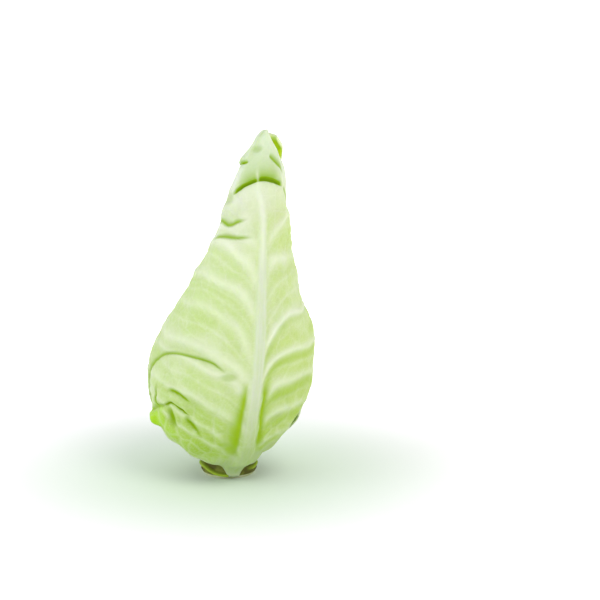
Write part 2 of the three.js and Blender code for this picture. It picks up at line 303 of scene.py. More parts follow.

# %% [markdown]
# ## What is raised on a leaf
# The midrib is a flat-topped ridge whose foot fans out over the stalk. Low down a soft valley, painted green
# as shade, lies on each side of it, broader on the left. Side veins leave it steeply and flatten as they run
# out, with painted green shade below them. Between them the blade puffs out into low blisters over a finer
# net. Bump in the material could draw the veins, but they would be missing from the mesh itself. Each relief
# also gives a mask for the finish, so that colour and shape can't drift apart.

# %% Ribs and veins
Vein = namedtuple("Vein", "start climb reach width height shade", defaults=[0.6, 0.4, 0])
RIB_WIDTHS, RIB_FLARE, FLARE_SHARE = (10, 3.8), 12, 0.055
FAN_REACH, FAN_HEIGHT = (27, 4), 0.8  # how far the midrib's foot fans out, low down and above, and how thick
VALLEY_START, VALLEY_END = (0.06, 0.15), (0.28, 0.35)  # where the valley deepens and where it runs out
NET_CELL, SMALL_CELL = 11, 4.5
VEIN_PITCH, VEIN_CLIMB = 19, 32


def beside_midrib(leaf, azimuth, along):
    """Millimetres round the head from the midrib, to the right of it."""
    radius, _, _, _ = section(along)
    middle = midrib(leaf, along / (leaf["tip"] * LENGTH))
    for aside, at, reach in leaf.get("kinks", ()):
        middle = middle + aside * hump((along - at) / reach)
    return (azimuth - np.radians(middle)) * radius


def rib_relief(leaf, side, v):
    """Height and mask of the midrib, and the mask of painted green shade in the soft valley on each side of
    its foot.
    """
    half = (mix(*RIB_WIDTHS, v) + RIB_FLARE * hump(v / FLARE_SHARE)) / 2
    reach = np.abs(side)
    ridge = 1 - ease(reach, 0.5 * half, 1.2 * half)
    groove = 0.16 * hump((reach - 1.5 * half) / (0.4 * half))
    spread = np.where(side < 0, 1 - ease(v, 0.17, 0.27), 0)  # low down the left valley opens out
    beyond = reach - half - mix(1.6, 2.6, spread)
    # the valley only paints green shade: it raises or sinks nothing
    valley_shade = hump(beyond / np.where(beyond > 0, mix(3.2, 8.0, spread), 2.2))
    valley_shade *= ease(v, *VALLEY_START) * (1 - ease(v, *VALLEY_END)) * ease(reach, half, 1.3 * half)
    tall = leaf["rib"] * (1 - v) ** 1.4 * mix(0.5, 1, ease(v, 0, 0.1))
    fan = mix(*FAN_REACH, ease(v, 0.045, 0.12))
    fanned = (1 - ease(reach, 0.5 * fan, fan)) * (1 - ease(v, 0.1, 0.13))
    pale = np.maximum(ridge * (1 - 0.5 * ease(v, 0.6, 0.7)) * (1 - ease(v, 0.78, 0.84)), fanned)
    return tall * (ridge - groove) + FAN_HEIGHT * fanned * (1 - ridge), pale, valley_shade


def vein_relief(leaf, side, along):
    """Height of the side veins, and masks of their pale lines, of their pale surroundings, partly a painted
    sheen, and of the painted green shade below.
    """
    reach = np.abs(side)
    height, line, veil_and_sheen, shade = (np.zeros_like(side) for _ in range(4))
    wander = 1.1 * ripples(side, along, 30, leaf["seed"]) * np.clip(reach / 15, 0, 1)
    for veins, on_side in ((leaf["veins_left"], side < 0), (leaf["veins_right"], side >= 0)):
        for vein in veins:
            rise = np.exp(-reach / vein.reach)
            slope = vein.climb / vein.reach * rise
            off = (along - vein.start - vein.climb * (1 - rise) - wander) / np.hypot(1, slope)
            width = vein.width * mix(1.15, 0.75, np.clip(reach / 50, 0, 1))
            fade = np.where(on_side, ease(reach, 0, 6) * (1 - 0.45 * np.clip(reach / 70, 0, 1)), 0)
            height = np.maximum(height, vein.height * hump(off / width) * fade)
            line = np.maximum(line, vein.height * hump(off / (1.2 * width)) * fade)
            # pale surroundings of a vein: partly its own pale colour, partly a painted sheen
            veil_and_sheen = np.maximum(veil_and_sheen, min(1, vein.height) * hump(off / (2.2 * width + 1)) * fade)
            # painted green shade below each side vein
            shade = np.maximum(shade, vein.shade * hump((off + 3 * width) / (2 * width)) * fade)
    return height, line, veil_and_sheen, shade


def blade_relief(leaf, side, along):
    """Blisters between the fine veins, and the mask of those veins."""
    warp = 2.2 * ripples(side, along, 17, leaf["seed"] + 1)
    climb = along - 0.35 * np.abs(side)
    line = net(side + warp, 1.15 * climb - warp, NET_CELL, leaf["seed"] + 2)
    small = net(side - warp, climb + warp, SMALL_CELL, leaf["seed"] + 3)
    low = 1 - ease(along, 42, 72)
    veins = np.maximum(hump(line / mix(0.1, 0.2, low)), 0.5 * hump(small / 0.12))
    return (1 - hump(line / 0.34)) * (1 + low), veins * mix(0.5, 1, low)


def even_veins(leaf, count=9):
    """Side veins of a leaf that isn't studied one by one: steep low down and quick to flatten high up."""
    draw = np.random.default_rng(leaf["seed"] + 5)
    for key, first in (("veins_left", 14), ("veins_right", 22)):
        starts = first + np.arange(count) * VEIN_PITCH + draw.uniform(-3, 3, count)
        leaf[key] = []
        for start in starts:
            reach = mix(30, 9, min(1, start / 130))
            leaf[key].append(Vein(start, VEIN_CLIMB, reach, 1.7, draw.uniform(0.6, 1.0), 0.3))


print("ribs and veins ready")

# %% [markdown]
# ## Buckled creases
# Where an outer leaf is pushed in, it buckles: the blade above the crease bulges, and a narrow pocket sinks
# at the fold. It could be sculpted, but a crease told as a smooth curve with a width along it can be moved
# and tried again. The fold is painted deep green as shade, and painted shade of the same green fades upward
# from it under the bulge. Two folds of the frill are also pulled a little down over themselves. Knobs and
# dents are single soft spots, and the dents are painted the same green as shade.

# %% Creases
Crease = namedtuple("Crease", "path ends bulge reach pocket dark soft glow hang", defaults=[(0.15, 2), 0])
GLOW_ENDS = 2.2  # how much more gently a crease's glow starts and ends than its fold


def crease_relief(crease, azimuth, along):
    """How far a crease raises the leaf and slides it along, and the mask of its painted deep green shade."""
    degrees = np.degrees(azimuth)
    path = smooth_curve(crease.path)
    line = np.interp(degrees, path[:, 0], path[:, 1])
    opening = np.interp(degrees, path[:, 0], path[:, 2])
    steep = np.interp(degrees, path[:, 0], np.gradient(path[:, 1], path[:, 0]))
    radius, _, _, _ = section(along)
    off = (along - line) / np.hypot(1, np.degrees(steep) / np.maximum(radius, 1))
    first, last = path[0, 0], path[-1, 0]
    start, end = crease.ends
    window, wide = (ease(degrees, first, first + n * start) * (1 - ease(degrees, last - n * end, last))
                    for n in (1, GLOW_ENDS))
    above = ease(off, -crease.soft, 0.35 * crease.soft)
    upper = ease(off, 0.2 * opening, 1.9 * opening + 0.6)
    reach_up, reach_down = crease.reach
    past = np.maximum(off - opening, 0)
    below = np.exp(np.minimum(off, 0) / reach_down)
    sunk = crease.pocket * mix(0.4 * below, 1, above) * (1 - upper)
    raised = (crease.bulge * hump(past / reach_up) * upper - sunk) * window
    slide = -crease.hang * hump((off - opening - 1) / 1.5) * window
    strength, length = crease.glow
    # painted shade: deep is the fold's dark green, glow the same green fading up under the bulge, near a
    # faint band along the line
    deep = crease.dark * above * (1 - ease(off, 0.3 * opening, 1.6 * opening + 1))
    glow = strength * above * np.exp(-past / length) * wide
    near = 0.25 * crease.dark * np.exp(-np.abs(off) / 1.2)
    return raised, slide, np.maximum(np.maximum(deep, glow), near) * window


# Each path is (azimuth in degrees, distance along the head, opening of the pocket)
HOOD_CREASES = [
    # The main crease under the hood
    Crease([(-62, 181, 0.4), (-48, 186, 1.0), (-34, 190.5, 1.6), (-22, 192, 2.0), (-8, 192.3, 2.2),
            (6, 192.3, 2.9), (25, 192.5, 2.9), (36, 192.6, 2.4), (46, 191.9, 1.7), (56, 190.8, 0.9),
            (64, 189.6, 0.3)],
           (18, 16), bulge=2.0, reach=(14, 3), pocket=0.6, dark=1, soft=0.6, glow=(0.6, 8)),
    # Where it runs on round the neck
    Crease([(60, 190, 0.3), (68, 187.5, 0.8), (76, 184.5, 0.9), (90, 179, 0.3)],
           (8, 12), bulge=0.3, reach=(4, 3), pocket=0.5, dark=0.5, soft=0.7, glow=(0.1, 2)),
    # The notch on the hood's left
    Crease([(-106, 200.5, 0.4), (-86, 201.5, 1.0), (-68, 202.8, 1.4), (-56, 203.6, 1.6),
            (-46, 204.2, 1.2), (-34, 205.2, 0.4)],
           (14, 12), bulge=2.0, reach=(6, 3), pocket=0.9, dark=0.72, soft=0.9, glow=(0.3, 4)),
    # The sliver beside the point
    Crease([(16, 208.4, 0.6), (26, 206.5, 1.6), (38, 204, 2.0), (52, 201, 1.7), (68, 197.6, 0.5)],
           (5, 12), bulge=0.8, reach=(3, 3), pocket=0.5, dark=0.62, soft=0.6, glow=(0.1, 2)),
]
FLANK_CREASES = [
    # The neck's upper fold
    Crease([(-96, 170, 0.4), (-78, 168.4, 1.2), (-62, 167, 1.8), (-50, 165.9, 2.4), (-42, 165.8, 2.4),
            (-34, 167.4, 1.8), (-24, 170.4, 1.4), (-8, 171.5, 0.4)],
           (24, 18), bulge=0.3, reach=(8, 6), pocket=0.5, dark=0.64, soft=1.2, glow=(0.38, 3)),
    # The neck's lower fold
    Crease([(-72, 156, 0.4), (-52, 157.8, 1.4), (-37, 159.3, 2.0), (-24, 160.5, 1.7), (-9, 160.8, 1.0),
            (10, 159.5, 0.4)],
           (20, 24), bulge=0.4, reach=(6, 5), pocket=0.5, dark=0.62, soft=1.2, glow=(0.3, 3)),
    # The long crease over the left shoulder
    Crease([(-84, 46, 0.3), (-80, 54, 0.6), (-77, 61, 0.9), (-74, 69, 1.2), (-71, 75.5, 1.4),
            (-67, 80.5, 1.5), (-62, 84.2, 1.4), (-56, 86.8, 1.3), (-48, 88.6, 1.2), (-38, 89.3, 1.2),
            (-27, 88.6, 1.0), (-14, 86.7, 0.9), (-7, 83.7, 0.6), (0, 79.3, 0.3)],
           (4, 10), bulge=0.7, reach=(16, 8), pocket=0.8, dark=0.62, soft=0.7, glow=(0.2, 5)),
    # The short fold above the frill
    Crease([(-48, 66, 0.4), (-41, 67, 1.8), (-35, 66, 2.0), (-29, 64.5, 1.4), (-23, 61, 0.3)],
           (8, 5), bulge=0.6, reach=(5, 3), pocket=0.7, dark=0.72, soft=0.9),
    # The fold over the knob
    Crease([(-92, 43.4, 0.6), (-78, 47.3, 1.6), (-65, 51.6, 2.4), (-54, 55, 1.6), (-47, 57.6, 0.8)],
           (8, 8), bulge=0.9, reach=(8, 7), pocket=1.0, dark=0.45, soft=0.6, hang=0.3),
    # The dark fold beside it
    Crease([(-54, 55, 0.6), (-47, 57.6, 0.9), (-43, 59.2, 1.0), (-39, 58.4, 1.2), (-34, 56.6, 1.3),
            (-29, 54.6, 1.2), (-25, 52.6, 0.5)],
           (8, 5), bulge=0.9, reach=(8, 7), pocket=1.4, dark=1, soft=0.6, hang=0.3),
    # The soft fold below
    Crease([(-32, 52, 0.5), (-28.5, 49.3, 2.4), (-25, 46, 2.8), (-21.5, 42.6, 2.2), (-16, 38, 0.8)],
           (4, 8), bulge=0.4, reach=(6, 5), pocket=0.8, dark=0.7, soft=1.3, glow=(0.15, 3)),
    # The upright fold at the margin
    Crease([(-64, 48, 0.5), (-61, 55, 0.9), (-58.5, 62, 0.9), (-56.5, 68, 0.4)],
           (2, 2), bulge=0.3, reach=(2, 2), pocket=0.6, dark=0.75, soft=0.9, glow=(0.1, 1)),
]

Spot = namedtuple("Spot", "azimuth along across tall raised fold frill aside", defaults=[0, 0, 0])
SPOTS = [
    Spot(-29, 213, 3.6, 2.6, -0.7, 0.34),  # the hood's dent
    Spot(-66, 181, 5, 4, -0.7, 0.3),
    Spot(0, 78.5, 5, 2.2, -0.6, 0.3),  # where the long crease runs out
    Spot(-79, 43, 6.4, 5.4, 4.2, 0, 1, -2),  # the rolled knob of the frill, and the soft swelling round it
    Spot(-69, 43.6, 4.6, 5.2, 1.4, 0, 0.9),
    Spot(-59, 46.5, 5.6, 6.5, 1.2, 0, 0.36),
    Spot(-44.5, 49.5, 3.6, 6.4, -1.6, 0.68),
    Spot(-61, 53.6, 6.0, 2.0, 0, 0, 0.75),
    Spot(-53, 38, 7, 4.5, 0.8, 0, 0.3),
    Spot(-80, 27, 9, 6, 2.4, 0, 0.3),
    Spot(88, 185, 12, 24, 1.3),  # the neck's right side
    Spot(-98, 36, 4.5, 4, 1.6, 0, 0.2),
    Spot(-24, 60, 7, 5, -0.5, 0.12),
]


def spots(azimuth, along):
    """Knobs and dents: how far they raise the leaf and push it aside, their mask of painted deep green shade,
    and their lime green mask, partly painted light through the leaf.
    """
    radius, _, _, _ = section(along)
    raised, aside, fold, frill = (np.zeros_like(along) for _ in range(4))
    for spot in SPOTS:
        x = (azimuth - math.radians(spot.azimuth)) * radius / spot.across
        bump = hump(np.square(np.hypot(x, (along - spot.along) / spot.tall)))
        raised += spot.raised * bump
        aside += spot.aside / radius * bump
        # a dent's mask of painted green shade, and a knob's lime mask
        fold, frill = np.maximum(fold, spot.fold * bump), np.maximum(frill, spot.frill * bump)
    return raised, aside, fold, frill


print(len(HOOD_CREASES) + len(FLANK_CREASES), "creases and", len(SPOTS), "spots ready")

# %% [markdown]
# ## Margins
# A margin is thin and free, so it waves and lifts. A simulation would put the lifts where it likes, so here
# they are told: how far, between which shares of the leaf's length, and with how many waves. The knob low on
# the front leaf's left comes from the spots.

# %% Margins
def margin_lift(leaf, u, v):
    edge = ease(np.abs(u), 0.7, 1)
    total = np.zeros_like(u)
    for on_side, lifts in ((u < 0, leaf.get("lifts_left", ())), (u >= 0, leaf.get("lifts_right", ()))):
        for lift, start, end, waves in lifts:
            span = ease(v, start - 0.06, start + 0.06) * (1 - ease(v, end - 0.06, end + 0.06))
            wave = 0.65 + 0.35 * np.sin(2 * math.pi * waves * v)
            total += np.where(on_side, lift * edge * span * wave, 0)
    return total


print("margins ready")

# %% [markdown]
# ## A leaf as one closed mesh
# A flat grid becomes a closed slab when its faces are extruded once: the copy is the leaf's outer face and
# the walls are its margin. The grid's own x and y carry u and v, so every corner knows its place on the
# leaf, and one pass of arithmetic moves all of them. The outer face takes the ribs and veins, and the inner
# face stays smooth. Last, the foot of the front leaf's midrib is bent down along the stalk. A Solidify
# modifier could give the thickness, but then both faces would carry the veins. Masks are stored as
# attributes, and the distances beside and along the midrib as a UV map.

# %% Leaf mesh
def to_mesh(bm, name):
    mesh = bpy.data.meshes.new(name)
    bm.to_mesh(mesh)
    bm.free()
    return mesh


def slab(name, across_steps, along_steps):
    """A closed slab: two grids joined at their rims. Corners with z of 1 are on the leaf's outer face."""
    bm = bmesh.new()
    bmesh.ops.create_grid(bm, x_segments=across_steps, y_segments=along_steps, size=1)
    made = bmesh.ops.extrude_face_region(bm, geom=bm.faces[:], use_keep_orig=True)
    outer = [g for g in made["geom"] if isinstance(g, bmesh.types.BMVert)]
    bmesh.ops.translate(bm, verts=outer, vec=(0, 0, 1))
    bmesh.ops.recalc_face_normals(bm, faces=bm.faces[:])
    return to_mesh(bm, name)


def coordinates(mesh):
    flat = np.empty(3 * len(mesh.vertices), np.float32)
    mesh.vertices.foreach_get("co", flat)
    return flat.reshape(-1, 3).astype(float)


def store(mesh, name, values):
    mesh.attributes.new(name, "FLOAT", "POINT").data.foreach_set("value", values.astype(np.float32))


def finish_mesh(mesh, points):
    mesh.vertices.foreach_set("co", (points * MM).astype(np.float32).ravel())
    mesh.polygons.foreach_set("use_smooth", np.ones(len(mesh.polygons), bool))
    mesh.update()


FOOT_RUN, FOOT_HALF = 12, 27  # how far up the leaf the bend starts, and its half width in degrees
FOOT_TAPER, FOOT_OUT = 0.3, 2.4  # how much the foot narrows, and how far its end stands out
LEAF_UNIT = 100  # millimetres of leaf to one unit of its UV map


def drop_foot(points, leaf, azimuth, along):
    """Bends the foot of a leaf's midrib down along the stalk, narrowing towards the cut."""
    middle = math.radians(float(midrib(leaf, 0)))
    beside = np.degrees(np.abs(azimuth - middle))
    share = np.clip(1 - along / FOOT_RUN, 0, 1) ** 2 * (1 - ease(beside, 0.5 * FOOT_HALF, FOOT_HALF))
    x, y, z = points.T
    turn = mix(azimuth, middle, FOOT_TAPER * share)
    r = np.hypot(x - lean(z), y) + FOOT_OUT * share
    return around(turn, r, z - leaf["foot_drop"] * share, lean(z))


def shape_leaf(leaf, mesh):
    """Moves a slab's vertices to the leaf's own place and shape, and stores its masks."""
    flat = coordinates(mesh)
    middle = leaf["middle"]  # the share of the columns that lies left of the midrib
    x = (flat[:, 0] + 1) / 2
    u = np.where(x < middle, (x - middle) / middle, (x - middle) / (1 - middle))
    rows = crowded(leaf["steps"][1], leaf.get("crowds", ()))
    v = np.interp((flat[:, 1] + 1) / 2, np.linspace(0, 1, len(rows)), rows)
    outer = flat[:, 2] > 0.5
    azimuth, along = leaf_place(leaf, u, v)
    side = beside_midrib(leaf, azimuth, along)

    rib, rib_mask, valley_shade = rib_relief(leaf, side, v)
    vein, vein_mask, veil_and_sheen, shade = vein_relief(leaf, side, along)
    puffed, net_mask = blade_relief(leaf, side, along)
    away = ease(np.abs(side), 2, 12)
    raised = margin_lift(leaf, u, v) * (1 - ease(along, LENGTH - 16, LENGTH - 3))
    raised += leaf["rough"] * away * 0.75 * ripples(side, along, 26, leaf["seed"] + 4)
    raised += leaf["puff"] * away * puffed * ease(v, 0.03, 0.15) * (1 - ease(v, 0.8, 0.95))
    slide, fold, frilled = np.zeros_like(u), np.zeros_like(u), np.zeros_like(u)
    radius, height, out_r, out_z = section(along)
    # a place on the inner face follows the creases at the outer face's place that it lies under
    inwards = BLADE / HEAD_RADIUS * ((height - FOCUS_HEIGHT) * out_r - radius * out_z)
    facing = along - np.where(outer, 0, inwards)
    for crease in leaf.get("creases", ()):
        lift, pull, deep = crease_relief(crease, azimuth, facing)
        raised, slide, fold = raised + lift, slide + pull, np.maximum(fold, deep)
    if "creases" in leaf:
        # the dents add their painted green shade to that of the creases
        lift, aside, dent_shade, frilled = spots(azimuth, facing)
        over_rib = 0.6 * hump(side / 0.8) * (1 - ease(along, 196, 204))
        raised, fold = raised + lift, np.maximum(fold * (1 - over_rib), dent_shade)
        azimuth = azimuth + aside
    raised = raised * (1 - ease(along, LENGTH - 8, LENGTH - 3))
    raised -= leaf.get("seat", 0) * (1 - ease(along, 18, 42))
    raised += leaf.get("peak", 0) * ease(along, LENGTH - 12, LENGTH)
    veins_out = leaf["vein"] * vein * (1 - ease(v, 0.88, 0.98))
    crest = 1.5 * hump(side / 1.5) * ease(v, 0.55, 0.66) * (1 - ease(v, 0.78, 0.84))
    depth = leaf["depth"] + np.where(outer, BLADE, 0)
    points = place(azimuth, along + slide, depth, raised + np.where(outer, rib + veins_out, 0))
    if "foot_drop" in leaf:
        points = drop_foot(points, leaf, azimuth, along)
    finish_mesh(mesh, points)

    rim = np.minimum(1 - np.abs(u), np.minimum(v, 1 - v) * 2)
    vein_line = np.maximum(vein_mask * (1 - ease(v, 0.85, 1)), crest)
    masks = {
        "rib": rib_mask, "vein": vein_line, "veil_and_sheen": veil_and_sheen, "net": net_mask, "fold": fold,
        "rim": hump(rim / 0.02), "frill": frilled, "shade": np.maximum(valley_shade, shade),
        "inside": np.where(outer, 0.0, 1.0), "rise": along / LENGTH,
    }
    for name, values in masks.items():
        store(mesh, name, values)
    corner = np.empty(len(mesh.loops), np.int32)
    mesh.loops.foreach_get("vertex_index", corner)
    on_leaf = (np.stack([side, along], 1)[corner] / LEAF_UNIT).astype(np.float32)
    mesh.uv_layers.new(name="leaf").data.foreach_set("uv", on_leaf.ravel())


print("leaf mesh ready")

# %% [markdown]
# ## The leaves
# Six wrapper leaves, from the outermost in. The front leaf winds round the head's point as a hood, so its
# left side wraps much further at the top than at the belly. Leaves that are mostly hidden get fewer steps.

# %% The leaves
FRONT_VEINS_LEFT = [
    Vein(17, 50, 50, 1.5, 0.7, 0.3), Vein(25, 40, 30, 1.5, 0.8, 0.3), Vein(42, 36, 32, 2.0, 0.9, 0.2),
    Vein(62, 32, 27, 1.8, 0.9, 0.2), Vein(68, 33, 19, 2.6, 0.9, 0.1), Vein(78, 43, 13, 2.4, 0.7, 0.1),
    Vein(106, 31.5, 9.5, 2.6, 0.9, 0.1), Vein(129, 28, 9, 2.2, 0.8, 0.1), Vein(148, 18, 8, 1.8, 0.5),
    Vein(33, 38, 31), Vein(52, 34, 29), Vein(73, 38, 16, 0.7),
    Vein(91, 38, 12, 0.7), Vein(98, 34, 10, 0.6, 0.35), Vein(118, 30, 9, 0.7),
]
FRONT_VEINS_RIGHT = [
    Vein(20, 24, 12, 1.6, 0.8, 0.45), Vein(36, 22, 8, 1.8, 0.9, 0.5), Vein(52, 22, 6, 1.9, 1.0, 0.65),
    Vein(66, 26, 6, 1.5, 1.2, 0.6), Vein(82, 32, 7, 1.2, 1.3, 0.35), Vein(131, 16, 3.5, 2.2, 0.7, 0.1),
    Vein(149, 26, 10, 1.4, 0.6), Vein(44, 22, 7), Vein(60, 24, 6),
    Vein(97, 30, 9), Vein(113, 26, 8, 0.6, 0.35),
]
SEAT = 1.2  # how much closer the outermost leaf's foot sits than its blade
USUAL = {"drop": (12, 12), "tip": 0.955, "middle": 0.5, "rough": 0.1}  # of a leaf that isn't told otherwise
INNER = {"wrap_left": (82, 105), "wrap_right": (80, 105), "rib": 1.5, "steps": (70, 110), "puff": 0.1,
         "vein": 0.2}
# foot and point: azimuths of the midrib's ends. sway, wander, kinks, turn: how it bends between them.
# rib, vein, puff, rough: heights of its reliefs. seat, peak: how far its foot sits in and its tip stands out.
LEAVES = [
    {"name": "front_leaf", "foot": -8, "point": -2, "sway": 28, "wander": 2.7, "turn": 19,
     "kinks": [(-14, 192, 14), (-10, 203, 7), (2.4, 52, 22)], "foot_drop": 7.5, "foot_share_left": 0.14,
     "wrap_left": (112, 248), "wrap_right": (76, 88), "drop": (6, 25), "tip": 1, "rib": 3.2, "extra": LOOSE,
     "steps": (176, 262), "middle": 0.56, "peak": 1.7, "seat": SEAT, "lifts_left": [(5.5, 0.9, 1.1, 0)],
     "lifts_right": [(2, 0.05, 0.5, 5), (4, 0.5, 0.78, 0)], "creases": HOOD_CREASES + FLANK_CREASES,
     "crowds": [(0.85, 0.05, 1.8), (0.36, 0.07, 0.9)], "rough": 0.6, "puff": 0.4, "vein": 0.7,
     "veins_left": FRONT_VEINS_LEFT, "veins_right": FRONT_VEINS_RIGHT},
    {"name": "back_leaf", "foot": 158, "point": 165, "sway": -8, "wrap_left": (98, 118),
     "wrap_right": (86, 120), "drop": (10, 10), "tip": 0.97, "rib": 3, "steps": (130, 190),
     "lifts_right": [(2.5, 0.1, 0.5, 5)], "rough": 0.25, "puff": 0.35, "vein": 0.5},
    {"name": "left_leaf", "foot": -108, "point": -112, "sway": 6, "wrap_left": (84, 110),
     "wrap_right": (88, 110), "rib": 2.6, "steps": (120, 170), "rough": 0.15, "puff": 0.2, "vein": 0.4},
    {"name": "right_leaf", "foot": 62, "point": 62, "sway": 5, "wrap_left": (80, 110),
     "wrap_right": (86, 110), "rib": 2, "steps": (90, 130), "puff": 0.15, "vein": 0.3},
    {"name": "inner_back_leaf", "foot": -165, "point": -165, "sway": -5, **INNER},
    {"name": "inner_front_leaf", "foot": -22, "point": -22, "sway": 5, "tip": 0.96, **INNER},
]


def add_piece(name, mesh, node):
    """Links a finished mesh, rides it on the head's body and lets it stand for its node."""
    piece = add_object(name, mesh)
    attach(piece, BODY)
    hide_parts(node)
    return piece


leaf_pieces = []
for layer, told in enumerate(LEAVES):
    leaf = {**USUAL, **told, "depth": told.get("extra", 0) - layer * LAYER_PITCH, "seed": 40 + 10 * layer}
    if "veins_left" not in leaf:
        even_veins(leaf)
    mesh = slab(leaf["name"] + "_fine", *leaf["steps"])
    shape_leaf(leaf, mesh)
    leaf_pieces.append(add_piece(leaf["name"] + "_fine", mesh, leaf["name"]))
    print(leaf["name"], len(mesh.vertices), "vertices")

# %% [markdown]
# ## Shader arithmetic in plain expressions
# A finish is a formula over the surface. A small class wraps a shader socket so that sums, products and
# powers of masks can be written as Python expressions, each adding its own Math node. Colours go through
# Mix nodes, and every other node comes from one method that sets its settings first.

# %% Shader helpers
class Value:
    """A shader socket that can be used in expressions."""

    def __init__(self, recipe, socket):
        self.recipe, self.socket = recipe, socket

    def math(self, operation, a, b=0.0):
        return self.recipe.node("ShaderNodeMath", {"operation": operation}, {0: a, 1: b})

    def __add__(self, other):
        return self.math("ADD", self, other)

    def __sub__(self, other):
        return self.math("SUBTRACT", self, other)

    def __rsub__(self, other):
        return self.math("SUBTRACT", other, self)

    def __mul__(self, other):
        return self.math("MULTIPLY", self, other)

    def __pow__(self, other):
        return self.math("POWER", self, other)

    __radd__, __rmul__ = __add__, __mul__

    def clamp(self):
        return self.recipe.node("ShaderNodeClamp", {}, {"Value": self})


class Recipe:
    """A material's node tree, built one node at a time."""

    def __init__(self, name):
        self.material = bpy.data.materials.new(name)
        self.material.use_nodes = True
        self.tree = self.material.node_tree
        self.tree.nodes.clear()

    def node(self, kind, settings=None, inputs=None, out=0):
        made = self.tree.nodes.new(kind)
        for key, value in (settings or {}).items():
            setattr(made, key, value)
        for key, value in (inputs or {}).items():
            if isinstance(value, Value):
                self.tree.links.new(value.socket, made.inputs[key])
            else:
                made.inputs[key].default_value = value
        return Value(self, made.outputs[out]) if made.outputs else None

    def mask(self, name):
        return self.node("ShaderNodeAttribute", {"attribute_name": name}, out="Fac")

    def blend(self, a, b, factor):
        """The colour a, turned into b as the factor goes from 0 to 1."""
        inputs = {0: factor, 6: rgba(a), 7: rgba(b)}
        return self.node("ShaderNodeMix", {"data_type": "RGBA"}, inputs, out=2)

    def noise(self, scale, where, detail=3.0, rough=0.55):
        return self.node("ShaderNodeTexNoise", {}, {"Vector": where, "Scale": scale, "Detail": detail,
                                                    "Roughness": rough})

    def steps(self, value, low, high):
        """0 below low and 1 above high, smoothly."""
        settings = {"interpolation_type": "SMOOTHSTEP"}
        return self.node("ShaderNodeMapRange", settings, {"Value": value, "From Min": low, "From Max": high})

    def finish(self, color, roughness, **others):
        """A principled finish. What isn't told keeps Blender's own number."""
        inputs = {"Base Color": color, "Roughness": roughness}
        inputs.update({key.replace("_", " "): value for key, value in others.items()})
        shader = self.node("ShaderNodeBsdfPrincipled", {}, inputs)
        self.node("ShaderNodeOutputMaterial", {}, {"Surface": shader})
        return self.material


def rgba(color):
    return color if isinstance(color, Value) else (*color, 1.0)


def from_display(*levels):
    """A colour told as it looks on a screen, from 0 to 255, as the linear numbers that a shader takes."""
    shares = [level / 255 for level in levels]
    return tuple(c / 12.92 if c <= 0.04045 else ((c + 0.055) / 1.055) ** 2.4 for c in shares)


print("shader helpers ready")

# %% [markdown]
# ## The leaf's finish
# A pointed cabbage's leaf is pale, waxy and slightly see-through. Its ribs and veins are almost cream, and
# the blade between them is a fresh green. The green is painted strong as shade in the creases and dents, in
# the valleys beside the midrib's foot, below the side veins and down the right side. Low down the blade is
# darker and greener, partly its own colour and partly painted shade, and the rib is darker there as painted
# shade. A painted sheen pales the left side and, with the veins' own pale colour, the blade round them. The
# knob of the frill is the lime of its curled margin, brightened as painted light that comes through the thin
# leaf. Inside the hood the young face is lime, brightened as painted light that comes through it, and a
# little glow of its own stands for that light too. A painted picture would have to be painted again for each
# change of shape. The masks made with the shape say where each green is, and slow noise keeps any of them
# from being even.

# %% Leaf finish
# greens low, middle and high on the leaf: the low ones darker and greener, partly the leaf's own colour,
# partly painted shade
CELL_GREENS = from_display(160, 192, 62), from_display(180, 202, 128), from_display(192, 208, 156)
PALE_GREENS = from_display(174, 198, 108), from_display(200, 211, 173), from_display(216, 220, 208)
HOOD_GREEN = from_display(197, 209, 180)
CELL_SHADED_RIGHT = from_display(176, 197, 98)
VEIN_CREAM = from_display(229, 233, 216)
RIB_CREAM = from_display(200, 206, 188)
RIB_SHADED_LOW = from_display(178, 194, 142)
LIME = from_display(130, 164, 0)
VALLEY_SHADE_LIME = from_display(146, 179, 14)
FOLD_SHADE_GREEN = from_display(96, 128, 0)
RIM_GREEN_LIT_THROUGH = from_display(160, 206, 0)
INNER_LOW = from_display(184, 208, 92)
INNER_GREEN = from_display(189, 197, 0)
LIGHT_THROUGH = from_display(124, 162, 0)
PART_STOPS = (0.12, 0.36), (0.45, 0.95)  # between which shares of the length one green turns into the next
FINEST_CELLS = 46.0  # cells of the finest net to one unit of the UV map, so about 2 millimetres each


